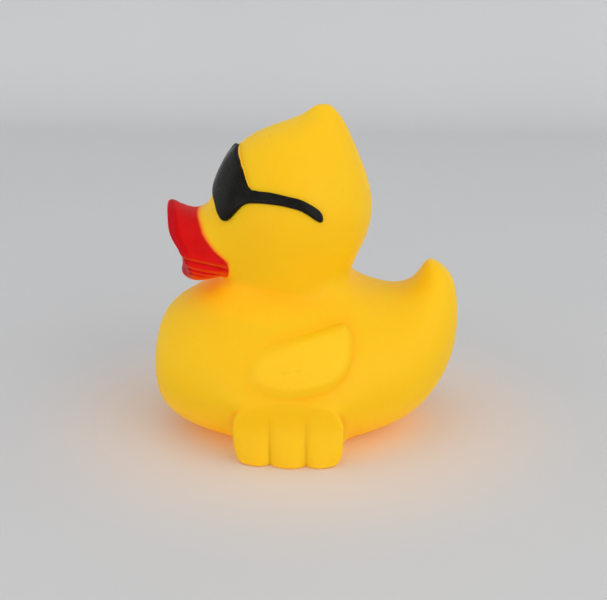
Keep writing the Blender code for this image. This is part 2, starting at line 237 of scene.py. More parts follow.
# Sunglasses, one band from arm to arm: angle from the face in degrees, then lower edge, upper edge and rise
HEAD_AXIS_X = -3.6 * MM
GLASSES_EDGES = (
    (0.0, 62.4, 68.0, 0.5),
    (6.0, 61.8, 69.1, 0.6),
    (12.0, 60.4, 69.8, 0.9),
    (20.4, 58.6, 69.4, 1.1),
    (29.4, 56.8, 68.6, 1.1),
    (36.0, 54.9, 67.9, 1.1),
    (41.5, 54.0, 67.2, 1.1),
    (45.5, 54.7, 66.4, 1.1),
    (49.9, 56.3, 65.5, 1.0),
    (55.7, 58.2, 63.6, 0.7),
    (60.0, 58.9, 62.2, 0.6),
    (66.0, 59.2, 61.9, 0.6),
    (77.0, 59.3, 61.8, 0.6),
    (90.0, 58.8, 61.1, 0.6),
    (101.0, 57.6, 60.1, 0.6),
    (109.5, 55.6, 58.4, 0.6),
    (114.4, 54.6, 57.1, 0.6),
)
# Angles between which a lens comes in from the bridge, and goes out into the arm
LENS_INNER = (6.0, 14.0)
LENS_OUTER = (57.0, 62.0)
# The upper edge of the right lens is this many mm lower, between these angles with a soft start and end
RIGHT_LENS_DROP = 1.0
RIGHT_LENS = (0.0, 56.0)
RIGHT_LENS_FADE = 8.0
# Angle over which the end of an arm is rounded
ARM_ROUND = 3.0
# How far the foot of the side wall stands out from the edge, in mm: over a lens, and all along below
GLASSES_DRAFT = (0.55, 0.12)
GLASSES_COLUMNS = 300
GLASSES_ROWS = 26
# Depth of the relief's underside in the skin, in the middle and at its edge, and the width of its shoulder
GLASSES_ROOT = 1.2 * MM
GLASSES_SINK = 0.12 * MM
GLASSES_SHOULDER = 0.45 * MM
# Share of the rise that a side wall has before its shoulder
GLASSES_WALL = 0.6

# Sole: the rounding where the skin meets the floor, its wall, and the air hole
SOLE_ROUNDING = 1.2 * MM
SOLE_WALL = 2.4 * MM
AIR_HOLE_DIAMETER = 3.0 * MM
AIR_HOLE_X = 3.4 * MM
AIR_HOLE_CUTS = (3, 3)

# Bend of the skin, per metre, that counts as a full crease, and the rounds of smoothing that spread a crease
CREASE_BEND = 85.0
CREASE_SPREAD = 24

# Rounds of subdivision that turn the cage into the skin
SKIN_LEVELS = 3
# Distance from the head's axis at which a ray starts back towards the skin
CAST_FROM = 80.0 * MM
# Corners of a ring, and how much a ring is drawn larger to end at its size after the rounding
CORNERS = 12
SWELL = 3.0 / (2.0 + math.cos(2.0 * math.pi / CORNERS))

# Specks and a scuff on the left side: place and size each way, in mm
SPECKS = (
    ((-8.3, -10.0, 73.0), (0.8, 8.0, 0.5)),
    ((8.9, -17.0, 61.7), (0.6, 8.0, 0.5)),
    ((-3.8, -32.0, 23.0), (2.0, 4.0, 0.45)),
    ((-0.6, -32.0, 23.4), (1.4, 4.0, 0.35)),
)
SPECK_STRENGTH = 0.3
# Spot under the bill with a painted glow and painted orange shade: place and size each way, in mm
CHIN_GLOW = ((-12.0, 0.0, 35.2), (21.0, 30.0, 7.5))
# Strength of the painted glow: at that spot, and on faces that point straight down
VINYL_GLOW_STRENGTH = (0.30, 0.20)

# Floor round the duck: painted warm bounce light, full to the first distance from its middle and plain from
# the second on, and the same for a painted orange glow in place of light that the vinyl throws on it, with
# its strength
PAINTED_BOUNCE_REACH = (0.028, 0.082)
PAINTED_GLOW_REACH = (0.024, 0.036)
FLOOR_GLOW_STRENGTH = 0.13

# Waves per metre in the uneven edges of the paint
EDGE_WOBBLE_SCALE = 900.0
# Colours, as linear red, green and blue. A finish with two of them wanders softly between them
VINYL = ((0.880, 0.505, 0.005), (0.875, 0.530, 0.008))
# Painted light: the paler yellow of the wings and toes
PAINTED_LIGHT_YELLOW = (0.920, 0.580, 0.020)
# Painted shade: the deeper orange of the creases, the wing edges and the spot under the bill
PAINTED_SHADE_ORANGE = (0.970, 0.400, 0.001)
SPECK_BROWN = (0.62, 0.33, 0.02)
# Painted glow of the vinyl under the bill and where it faces down
VINYL_GLOW = (1.0, 0.34, 0.0)
BILL_RED = ((0.60, 0.003, 0.003), (0.65, 0.006, 0.005))
# Painted shade: the darker red of the upper lip's front face
PAINTED_LIP_SHADE_RED = (0.44, 0.004, 0.012)
SPRAY_ORANGE = (0.93, 0.22, 0.010)
GLASSES_BLACK = ((0.003, 0.003, 0.002), (0.008, 0.007, 0.005))
BARE_WALL = (0.90, 0.47, 0.02)
WALL_FOOT = (0.20, 0.07, 0.01)
PAPER = ((0.575, 0.575, 0.58), (0.59, 0.59, 0.595))
# Painted warm bounce light on the floor round the duck
PAINTED_BOUNCE_PAPER = (0.72, 0.625, 0.57)
# Painted orange glow on the floor round the duck
FLOOR_GLOW = (1.0, 0.36, 0.0)

# Studio: colour and strength of its air, and the softboxes by name, place, aim and size in metres, and watts
STUDIO_AIR = (0.98, 0.99, 1.0)
STUDIO_AIR_STRENGTH = 0.95
SOFTBOXES = (
    ("right_softbox", (0.75, -0.75, 0.42), (0.0, 0.0, 0.03), (0.9, 0.9), 3.5),
    ("left_softbox", (-0.6, -0.8, 0.12), (0.0, 0.0, 0.02), (0.8, 0.3), 1.3),
)
# Paper sweep, in metres: half its width, where it bends up, the bend's radius and its steps
SWEEP_HALF = 1.0
SWEEP_BEND = 0.42
SWEEP_RADIUS = 0.10
SWEEP_STEPS = 16

# Camera, at the photograph's viewing angle
CAMERA_AZIMUTH = math.radians(2.0)
CAMERA_ELEVATION = math.radians(18.0)
CAMERA_DISTANCE = 0.295
CAMERA_LENS = 70.0
CAMERA_TARGET = Vector((-0.6 * MM, 0.0, 30.5 * MM))


def ring_corner(ring, width, angle, side):
    """Point of a ring at an angle from its first midline point, on the left (-1) or the right (+1)."""
    first, last, share = ring
    first = Vector((first[0], 0.0, first[1])) * MM
    last = Vector((last[0], 0.0, last[1])) * MM
    turn = math.radians(angle)
    across = Vector((0.0, side * share * width / 2.0 * math.sin(turn), 0.0))
    along = (first - last) / 2.0 * math.cos(turn)
    return (first + last) / 2.0 + SWELL * (along + across)


class Cage:
    """A mesh that grows by extruding faces.

    Its corners carry the ring, spoke and level that they belong to, and how far out on the bill they are.
    """

    def __init__(self):
        self.bm = bmesh.new()
        layers = self.bm.verts.layers
        self.ring = layers.int.new("ring")
        self.spoke = layers.int.new("spoke")
        self.level = layers.int.new("level")
        self.bill = layers.float.new("bill")
        self.lip = layers.float.new("lip")

    def faces(self, rings=None, spokes=None, levels=None):
        """The faces whose corners all have one of these rings, spokes and levels."""
        asked = ((self.ring, rings), (self.spoke, spokes), (self.level, levels))
        return [
            face
            for face in self.bm.faces
            if all(
                allowed is None or all(corner[layer] in allowed for corner in face.verts)
                for layer, allowed in asked
            )
        ]

    def grow(self, faces, place, ring=None, level=None, bill=None, lip=None):
        """Extrudes faces as one piece, moves each new corner to place(corner) and returns the new faces."""
        made = bmesh.ops.extrude_face_region(self.bm, geom=faces)["geom"]
        bmesh.ops.delete(self.bm, geom=faces, context="FACES")
        for corner in [item for item in made if isinstance(item, bmesh.types.BMVert)]:
            corner.co = place(corner)
            if ring is not None:
                corner[self.ring] = ring
            if level is not None:
                corner[self.level] = level
            if bill is not None:
                corner[self.bill] = bill
            if lip is not None:
                corner[self.lip] = lip
        return [item for item in made if isinstance(item, bmesh.types.BMFace)]


def add_body(cage):
    """The body: a ring of corners at the breast, extruded through the other rings to the tail."""
    circle = bmesh.ops.create_circle(cage.bm, cap_ends=True, segments=CORNERS, radius=1.0)
    spokes = (1, 2, 3, 4, 5, 6, -6, -5, -4, -3, -2, -1)
    for corner, spoke in zip(circle["verts"], spokes):
        corner[cage.spoke] = spoke

    def place_on(ring):
        def place(corner):
            spoke = corner[cage.spoke]
            return ring_corner(ring, BODY_WIDTH, BODY_ANGLES[abs(spoke) - 1], math.copysign(1, spoke))

        return place

    for corner in circle["verts"]:
        corner.co = place_on(BODY_RINGS[0])(corner)
    cap = list(cage.bm.faces)
    for number, ring in enumerate(BODY_RINGS[1:], start=1):
        cap = cage.grow(cap, place_on(ring), ring=number)
    bmesh.ops.holes_fill(cage.bm, edges=cage.bm.edges)


def add_head(cage):
    """The head: nine faces of the back, extruded through the head's rings to the crest."""

    def angle_of(corner):
        outer = abs(corner[cage.spoke]) == 2
        place_in_row = NECK_RINGS.index(corner[cage.ring])
        return HEAD_ANGLES[(1, 2, 3, 4)[place_in_row] if outer else (0, 2, 3, 5)[place_in_row]]

    def place_on(ring):
        def place(corner):
            side = math.copysign(1, corner[cage.spoke])
            point = ring_corner(ring, HEAD_WIDTH, angle_of(corner), side)
            inner = abs(corner[cage.spoke]) == 1 and corner[cage.ring] in NECK_RINGS[1:3]
            if not inner:
                return point
            far = ring_corner(ring, HEAD_WIDTH, angle_of(corner), -side)
            return point.lerp(far, 1.0 / 3.0)

        return place

    cap = cage.faces(rings=NECK_RINGS, spokes=NECK_SPOKES, levels=(0,))
    for number, ring in enumerate(HEAD_RINGS, start=1):
        cap = cage.grow(cap, place_on(ring), level=number)


def add_bill(cage):
    """The bill: six faces of the face, extruded step by step to the lip and then in behind it."""
    bill = cage.faces(rings=NECK_RINGS[:1], spokes=NECK_SPOKES, levels=BILL_LEVELS)
    for step, rows in enumerate(BILL_STEPS, start=1):

        def place(corner):
            spoke = corner[cage.spoke]
            x, half_width, z = rows[BILL_LEVELS.index(corner[cage.level])][abs(spoke) - 1]
            return Vector((x, math.copysign(half_width, spoke), z)) * MM

        bill = cage.grow(bill, place, bill=1.0, lip=float(step))


def add_feet(cage):
    """The feet: six faces low on each flank, extruded together as a pad."""
    half = 1.5 * TOE_WIDTH + FOOT_MARGIN
    columns = (-half, -0.5 * TOE_WIDTH, 0.5 * TOE_WIDTH, half)
    for side in (-1, 1):
        spokes = [spoke * side for spoke in FOOT_SPOKES]
        pad = cage.faces(rings=NECK_RINGS, spokes=spokes, levels=(0,))
        for rows in FOOT_STEPS:

            def place(corner):
                column = NECK_RINGS.index(corner[cage.ring])
                row = FOOT_SPOKES.index(abs(corner[cage.spoke]))
                reach = rows[row][0] * MM - FOOT_TAKEN_BACK[column] * FOOT_ROW_SHARES[row]
                return Vector((FEET_X + columns[column], side * reach, rows[row][1] * MM))

            pad = cage.grow(pad, place)


def object_from(bm, name, materials):
    """A new smooth object from a bmesh."""
    mesh = bpy.data.meshes.new(name)
    bm.to_mesh(mesh)
    bm.free()
    for each in materials:
        mesh.materials.append(each)
    mesh.shade_smooth()
    obj = bpy.data.objects.new(name, mesh)
    bpy.context.scene.collection.objects.link(obj)
    return obj


def rounded_skin():
    """The control cage, rounded by subdivision and turned back into a bmesh."""
    cage = Cage()
    add_body(cage)
    add_head(cage)
    add_bill(cage)
    add_feet(cage)
    bmesh.ops.recalc_face_normals(cage.bm, faces=cage.bm.faces)
    control = object_from(cage.bm, "control_cage", ())
    round_off = control.modifiers.new("round", "SUBSURF")
    round_off.levels = SKIN_LEVELS
    round_off.render_levels = SKIN_LEVELS
    finished = control.evaluated_get(bpy.context.evaluated_depsgraph_get())
    bm = bmesh.new()
    bm.from_mesh(finished.to_mesh())
    bpy.data.objects.remove(control)
    return bm


def smooth_step(value):
    value = np.clip(value, 0.0, 1.0)
    return value * value * (3.0 - 2.0 * value)


def along_table(rows, places):
    """Values of a table at places along its first column, on smooth curves through its rows."""
    rows = np.array(rows)
    keys, values = rows[:, 0], rows[:, 1:]
    slopes = np.gradient(values, keys, axis=0)
    index = np.clip(np.searchsorted(keys, places) - 1, 0, len(keys) - 2)
    span = (keys[index + 1] - keys[index])[:, None]
    share = np.clip((places - keys[index])[:, None] / span, 0.0, 1.0)
    rise = share * share * (3.0 - 2.0 * share)
    start = share * (1.0 - share) ** 2 * span * slopes[index]
    end = share**2 * (1.0 - share) * span * slopes[index + 1]
    return values[index] * (1.0 - rise) + values[index + 1] * rise + start - end


def closed_curve(corners, steps=12):
    """A smooth closed curve through corners, as an array of points."""
    points = np.array(corners)
    before, after, next_but_one = (np.roll(points, shift, axis=0) for shift in (1, -1, -2))
    curve = []
    for share in np.arange(steps) / steps:
        curve.append(
            0.5
            * (
                2.0 * points
                + (after - before) * share
                + (2.0 * before - 5.0 * points + 4.0 * after - next_but_one) * share**2
                + (3.0 * points - before - 3.0 * after + next_but_one) * share**3
            )
        )
    return np.stack(curve, axis=1).reshape(-1, 2)


def depth_inside(points, curve):
    """How far points lie inside a closed curve, below zero outside it."""
    ends = np.roll(curve, -1, axis=0)
    legs = ends - curve
    to_point = points[:, None, :] - curve[None]
    share = np.clip((to_point * legs).sum(2) / (legs**2).sum(1), 0.0, 1.0)
    distance = np.linalg.norm(to_point - share[..., None] * legs, axis=2).min(1)
    x, y = points[:, :1], points[:, 1:]
    spans = (curve[:, 1] > y) != (ends[:, 1] > y)
    crossing = curve[:, 0] + (y - curve[:, 1]) / np.where(legs[:, 1] == 0.0, 1e-12, legs[:, 1]) * legs[:, 0]
    inside = (spans & (x < crossing)).sum(1) % 2 == 1
    return np.where(inside, distance, -distance)


def refine(bm, low, high, cuts):
    """Splits the faces inside a box more finely. The box is given by its corners in mm."""
    chosen = [
        edge
        for edge in bm.edges
        if all(low[axis] < corner.co[axis] / MM < high[axis] for corner in edge.verts for axis in range(3))
    ]
    bmesh.ops.subdivide_edges(bm, edges=chosen, cuts=cuts, use_grid_fill=True)


def raise_wings(bm):
    """Raises a wing on each flank, along the skin's own normals."""
    # Each wing is painted paler, as where light falls on it
    pale = bm.verts.layers.float.new("wing")
    # Its edge gets a painted deeper orange shade
    rim = bm.verts.layers.float.new("wing_painted_shade")
    low, high = WING_BOX
    refine(bm, low, high, WING_CUTS)
    refine(bm, (low[0], -high[1], low[2]), (high[0], -low[1], high[2]), WING_CUTS)
    bm.normal_update()
    outline = closed_curve(WING_OUTLINE) * MM
    front, rear = outline[:, 0].min(), outline[:, 0].max()
    centre = outline.mean(0)
    near = [
        corner
        for corner in bm.verts
        if abs(corner.co.y) > -high[1] * MM
        and low[0] < corner.co.x / MM < high[0]
        and low[2] < corner.co.z / MM < high[2]
    ]
    places = np.array([(corner.co.x, corner.co.z) for corner in near])
    depth = depth_inside(places, outline)
    rise = np.interp(places[:, 0], (front, rear), WING_RISE)
    upward = (places - centre) @ np.array(WING_CRISP) / (rear - front) * 2.0
    crisp = smooth_step(upward + 0.5)
    shoulder = WING_SHOULDER[0] + (WING_SHOULDER[1] - WING_SHOULDER[0]) * crisp
    share = np.clip(depth / shoulder, 0.0, 1.0)
    soft = smooth_step(share)
    round_over = np.sqrt(1.0 - (1.0 - share) ** 2)
    lift = rise * (soft + (round_over - soft) * (0.15 + 0.45 * crisp))
    painted_rim_shades = np.exp(-((depth / WING_PAINTED_SHADE + 0.4) ** 2)) * (WING_PAINTED_SHADE_STRENGTH[0] + WING_PAINTED_SHADE_STRENGTH[1] * crisp)
    for number, corner in enumerate(near):
        corner.co += corner.normal * lift[number]
        corner[pale] = soft[number]
        corner[rim] = painted_rim_shades[number]


def carve_toes(bm):
    """Cuts each foot into three round-fronted toes and marks them to be painted paler, as where light falls.
    """
    pale = bm.verts.layers.float["wing"]
    (front, rear), (near, far), (low, high) = TOE_BOX
    for side in (-1, 1):
        reaches = sorted((side * near, side * far))
        refine(bm, (front, reaches[0], low), (rear, reaches[1], high), TOE_CUTS)
    half = TOE_WIDTH / 2.0
    for corner in bm.verts:
        x, z = corner.co.x, corner.co.z
        reach = abs(corner.co.y)
        from_middle = abs(x - FEET_X)
        if z > TOE_GROOVE_TOP or from_middle > 2.0 * TOE_WIDTH or reach < near * MM:
            continue
        # Painted light: the toes' outer ends get the paler colour
        out = smooth_step((reach - PALE_TOES_REACH) / PALE_TOES_FADE[0])
        down = smooth_step((TOE_GROOVE_TOP - z) / PALE_TOES_FADE[1])
        corner[pale] = out * down
        if from_middle > TOE_WIDTH:
            continue
        height = max(z, 0.0) / TOE_GROOVE_TOP
        share = min(abs((from_middle + half) % TOE_WIDTH - half) / half, 1.0)
        power = TOE_SHAPE[0] + (TOE_SHAPE[1] - TOE_SHAPE[0]) * height
        depth = TOE_GROOVE * (1.0 - height**TOE_GROOVE_FADE)
        corner.co.y -= math.copysign(depth * (1.0 - math.sqrt(1.0 - share**power)), corner.co.y)


def pierce_sole(bm):
    """Sinks the air hole into the flat sole."""
    reach = AIR_HOLE_DIAMETER / MM
    middle = AIR_HOLE_X / MM
    for cuts in AIR_HOLE_CUTS:
        refine(bm, (middle - reach, -reach, -1.0), (middle + reach, reach, 0.5), cuts)
    radius = AIR_HOLE_DIAMETER / 2.0
    for corner in bm.verts:
        away = Vector((corner.co.x - AIR_HOLE_X, corner.co.y))
        if corner.co.z > 0.5 * MM or away.length > 1.15 * radius:
            continue
        if away.length > 0.85 * radius:
            away = away.normalized() * radius
            corner.co.x, corner.co.y = AIR_HOLE_X + away.x, away.y
        if away.length < 0.99 * radius:
            corner.co.z += SOLE_WALL


def ripple_mouth(bm):
    """Raises the beads and sinks the grooves that follow the mouth line and the edge of the upper lip."""
    refine(bm, *BILL_BOX, BILL_CUTS)
    bm.normal_update()
    bill = bm.verts.layers.float["bill"]
    lip = bm.verts.layers.float["lip"]
    height, start = MOUTH_CORNER
    moves = []
    for corner in bm.verts:
        if corner[bill] < 0.02:
            continue
        over = corner.co.z / MM - height - (start - corner.co.x / MM) * MOUTH_RISE
        swell = 0.0
        for place, rise, width in MOUTH_RIPPLES:
            swell += rise * math.exp(-(((over - place) / width) ** 2))
        swell *= min(1.0, corner[bill]) * (1.0 - smooth_step(corner[lip] - RIPPLES_END))
        edge = LIP_GROOVE * math.exp(-(((corner[lip] - LIP_GROOVE_STEP) / LIP_GROOVE_WIDTH) ** 2))
        edge *= smooth_step(over / LIP_GROOVE_FADE)
        edge *= smooth_step((LIP_GROOVE_TOP - corner.co.z / MM) / LIP_GROOVE_FADE)
        moves.append((corner, corner.normal * (swell * MM - edge)))
        height_share = (corner.co.z / MM - LIP_SWELL_HEIGHT[0]) / LIP_SWELL_HEIGHT[1]
        come_in = (corner[lip] - LIP_SWELL_STEPS[0]) / (LIP_SWELL_STEPS[1] - LIP_SWELL_STEPS[0])
        forward = LIP_SWELL * math.exp(-(height_share**2)) * smooth_step(come_in)
        moves.append((corner, Vector((-forward, 0.0, 0.0))))
    for corner, move in moves:
        corner.co += move


def flatten_sole(bm):
    """Presses what lies below the floor up to a flat sole with a rounded rim."""
    for corner in bm.verts:
        z = corner.co.z
        if z < -SOLE_ROUNDING:
            corner.co.z = 0.0
        elif z < SOLE_ROUNDING:
            corner.co.z = (z + SOLE_ROUNDING) ** 2 / (4.0 * SOLE_ROUNDING)


def mark_creases(bm):
    """Stores on each corner how deep it lies in a crease, from 0 to 1, and how far it faces down."""
    crease = bm.verts.layers.float.new("crease")
    under = bm.verts.layers.float.new("under")
    bm.normal_update()
    bm.verts.index_update()
    corners = list(bm.verts)
    places = np.array([corner.co for corner in corners])
    normals = np.array([corner.normal for corner in corners])
    pairs = np.array([[corner.index for corner in edge.verts] for edge in bm.edges])
    pairs = np.concatenate([pairs, pairs[:, ::-1]])
    count = np.bincount(pairs[:, 0], minlength=len(corners))
    legs = places[pairs[:, 1]] - places[pairs[:, 0]]
    bend = (legs * normals[pairs[:, 0]]).sum(1) / (legs**2).sum(1)
    hollow = np.bincount(pairs[:, 0], bend, len(corners)) / count
    for _ in range(CREASE_SPREAD):
        hollow = 0.5 * hollow + 0.5 * np.bincount(pairs[:, 0], hollow[pairs[:, 1]], len(corners)) / count
    for corner, depth in zip(corners, np.clip(hollow / CREASE_BEND, 0.0, 1.0)):
        corner[crease] = depth
        corner[under] = -corner.normal.z


def mark_paint(bm):
    """Stores on each corner how deep it lies inside the red paint of the bill, in mm."""
    bill = bm.verts.layers.float["bill"]
    red = bm.verts.layers.float.new("red_paint")
    corners = list(bm.verts)
    heights = np.array([corner.co.z / MM for corner in corners])
    edge = along_table(PAINT_EDGE, heights)[:, 0]
    for corner, limit in zip(corners, edge):
        corner[red] = min(limit - corner.co.x / MM, (corner[bill] - PAINT_ROOT[0]) * PAINT_ROOT[1])


class Skin:
    """The finished skin, to lay pieces on."""

    def __init__(self, bm):
        bm.normal_update()
        bm.faces.ensure_lookup_table()
        self.bm = bm
        self.tree = BVHTree.FromBMesh(bm)

    def meet(self, start, direction):
        """Where a ray meets the skin, with the smooth normal there."""
        point, _, index, _ = self.tree.ray_cast(start, direction)
        corners = self.bm.faces[index].verts
        weights = poly_3d_calc([corner.co for corner in corners], point)
        normal = sum((corner.normal * weight for corner, weight in zip(corners, weights)), Vector())
        return point, normal.normalized()

    def on_head(self, angle, z):
        """Point and normal of the head at an angle from the face and at a height."""
        turn = math.radians(angle)
        outwards = Vector((-math.cos(turn), math.sin(turn), 0.0))
        axis = Vector((HEAD_AXIS_X, 0.0, z))
        return self.meet(axis + outwards * CAST_FROM, -outwards)


def lens_share(angle):
    """1 over a lens and 0 over the bridge and the arms, for an angle from the face."""
    inner = smooth_step((abs(angle) - LENS_INNER[0]) / (LENS_INNER[1] - LENS_INNER[0]))
    outer = smooth_step((LENS_OUTER[1] - abs(angle)) / (LENS_OUTER[1] - LENS_OUTER[0]))
    return float(inner * outer)


def sunglasses(skin, paint):
    """Lenses, bridge and arms as one relief on the head, with side walls that go into the skin."""
    bm = bmesh.new()
    bare = bm.verts.layers.float.new("bare_vinyl")
    bmesh.ops.create_grid(bm, x_segments=GLASSES_COLUMNS, y_segments=GLASSES_ROWS, size=1.0)
    under = list(bm.faces)
    top = bmesh.ops.extrude_face_region(bm, geom=under, use_keep_orig=True)["geom"]
    top = {item for item in top if isinstance(item, bmesh.types.BMVert)}
    corners = list(bm.verts)
    last = GLASSES_EDGES[-1][0]
    across = np.array([corner.co.x for corner in corners])
    up = np.array([corner.co.y for corner in corners])
    angle = np.sin(across * math.pi / 2.0) * 0.25 * last + across * 0.75 * last
    low, high, rise = along_table(GLASSES_EDGES, np.abs(angle)).T
    on_right = smooth_step((angle - RIGHT_LENS[0]) / RIGHT_LENS_FADE)
    on_right *= smooth_step((RIGHT_LENS[1] - angle) / RIGHT_LENS_FADE)
    high = high - RIGHT_LENS_DROP * on_right
    end = np.clip((np.abs(angle) - last + ARM_ROUND) / ARM_ROUND, 0.0, 1.0)
    half = (high - low) / 2.0 * np.sqrt(1.0 - end**2)
    eased = np.sin(up * math.pi / 2.0)
    z = (low + high) / 2.0 + eased * half
    from_edge = (1.0 - np.abs(eased)) * half
    shoulder = np.clip(from_edge / (GLASSES_SHOULDER / MM), 0.0, 1.0)
    lift = rise * (GLASSES_WALL + (1.0 - GLASSES_WALL) * np.sqrt(1.0 - (1.0 - shoulder) ** 2)) * MM
    for number, corner in enumerate(corners):
        point, normal = skin.on_head(angle[number], z[number] * MM)
        if corner in top:
            corner.co = point + normal * lift[number]
        else:
            corner.co = point - normal * GLASSES_ROOT
            if abs(up[number]) > 0.999:
                above = up[number] > 0.0
                lens = lens_share(angle[number]) if above else 0.0
                draft = GLASSES_DRAFT[0] * lens if above else -GLASSES_DRAFT[1]
                point, normal = skin.on_head(angle[number], (z[number] + draft) * MM)
                corner.co = point - normal * GLASSES_SINK
                corner[bare] = lens
    bmesh.ops.remove_doubles(bm, verts=bm.verts, dist=0.002 * MM)
    bmesh.ops.recalc_face_normals(bm, faces=bm.faces)
    return object_from(bm, "sunglasses", (paint,))


def shader_of(name):
    made = bpy.data.materials.new(name)
    made.use_nodes = True
    return made, made.node_tree.nodes, made.node_tree.links, made.node_tree.nodes["Principled BSDF"]


def ranged(nodes, links, value, to_range, from_range=(0.0, 1.0), kind="LINEAR"):
    """A number that goes through to_range as a value goes through from_range."""
    spread = nodes.new("ShaderNodeMapRange")
    spread.interpolation_type = kind
    spread.inputs["From Min"].default_value = from_range[0]
    spread.inputs["From Max"].default_value = from_range[1]
    spread.inputs["To Min"].default_value = to_range[0]
    spread.inputs["To Max"].default_value = to_range[1]
    links.new(value, spread.inputs["Value"])
    return spread.outputs["Result"]


def place_on_piece(nodes):
    return nodes.new("ShaderNodeTexCoord").outputs["Object"]


def noise_at(nodes, links, scale, detail):
    noise = nodes.new("ShaderNodeTexNoise")
    noise.inputs["Scale"].default_value = scale
    noise.inputs["Detail"].default_value = detail
    links.new(place_on_piece(nodes), noise.inputs["Vector"])
    return noise.outputs["Fac"]


def noise_mask(nodes, links, scale, low, high, detail=4.0):
    """A mask of soft patches, each about 1 / scale metres wide."""
    return ranged(nodes, links, noise_at(nodes, links, scale, detail), (0.0, 1.0), (low, high))


def attribute_above(nodes, links, name, low, high, wobble=0.0):
    """A mask that goes from 0 to 1 as an attribute goes from low to high, with an uneven edge."""
    stored = nodes.new("ShaderNodeAttribute")
    stored.attribute_name = name
    shift = nodes.new("ShaderNodeMath")
    shift.operation = "MULTIPLY_ADD"
    shift.inputs[1].default_value = wobble
    links.new(noise_at(nodes, links, EDGE_WOBBLE_SCALE, 3.0), shift.inputs[0])
    links.new(stored.outputs["Fac"], shift.inputs[2])
    limits = (low + wobble / 2.0, high + wobble / 2.0)
    return ranged(nodes, links, shift.outputs[0], (0.0, 1.0), limits, "SMOOTHSTEP")


def distance_of(nodes, links, place):
    """The distance of a place from the origin."""
    distance = nodes.new("ShaderNodeVectorMath")
    distance.operation = "LENGTH"
    links.new(place, distance.inputs[0])
    return distance.outputs["Value"]


def spot(nodes, links, middle, size):
    """A mask of one soft spot, by its middle and its size each way in mm."""
    mapping = nodes.new("ShaderNodeMapping")
    mapping.vector_type = "TEXTURE"
    mapping.inputs["Location"].default_value = [value * MM for value in middle]
    mapping.inputs["Scale"].default_value = [value * MM for value in size]
    links.new(place_on_piece(nodes), mapping.inputs["Vector"])
    away = distance_of(nodes, links, mapping.outputs["Vector"])
    return ranged(nodes, links, away, (0.0, 1.0), (1.0, 0.0), "SMOOTHSTEP")


def mixed(nodes, links, mask, first, second):
    """A colour that goes from first to second as a mask goes from 0 to 1."""
    mix = nodes.new("ShaderNodeMix")
    mix.data_type = "RGBA"
    links.new(mask, mix.inputs["Factor"])
    for socket, colour in ((mix.inputs["A"], first), (mix.inputs["B"], second)):
        if isinstance(colour, bpy.types.NodeSocket):
            links.new(colour, socket)
        else:
            socket.default_value = (*colour, 1.0)
    return mix.outputs["Result"]


def larger(nodes, links, first, second):
    """The larger of two numbers."""
    most = nodes.new("ShaderNodeMath")
    most.operation = "MAXIMUM"
    links.new(first, most.inputs[0])
    links.new(second, most.inputs[1])
    return most.outputs[0]


def bumped(nodes, links, shader, height, strength, distance):
    bump = nodes.new("ShaderNodeBump")
    bump.inputs["Strength"].default_value = strength
    bump.inputs["Distance"].default_value = distance
    links.new(height, bump.inputs["Height"])
    links.new(bump.outputs["Normal"], shader.inputs["Normal"])


def vinyl_colour(nodes, links, chin_glow):
    """The vinyl's yellow with specks, painted paler where light falls on wings and toes, and painted a
    deeper orange shade in the creases, round the wings and under the bill.
    """
    cloudy = noise_mask(nodes, links, 55.0, 0.3, 0.7)
    yellow = mixed(nodes, links, cloudy, *VINYL)
    # Painted light: paler on the wings and toes
    yellow = mixed(nodes, links, attribute_above(nodes, links, "wing", 0.0, 2.0), yellow, PAINTED_LIGHT_YELLOW)
    # Painted shade: deeper orange in the creases, round the wings and under the bill
    for mask in (
        attribute_above(nodes, links, "crease", 0.12, 1.4),
        attribute_above(nodes, links, "wing_painted_shade", 0.0, 2.0),
        chin_glow,
    ):
        yellow = mixed(nodes, links, mask, yellow, PAINTED_SHADE_ORANGE)
    for middle, size in SPECKS:
        speck = ranged(nodes, links, spot(nodes, links, middle, size), (0.0, SPECK_STRENGTH))
        yellow = mixed(nodes, links, speck, yellow, SPECK_BROWN)
    return yellow


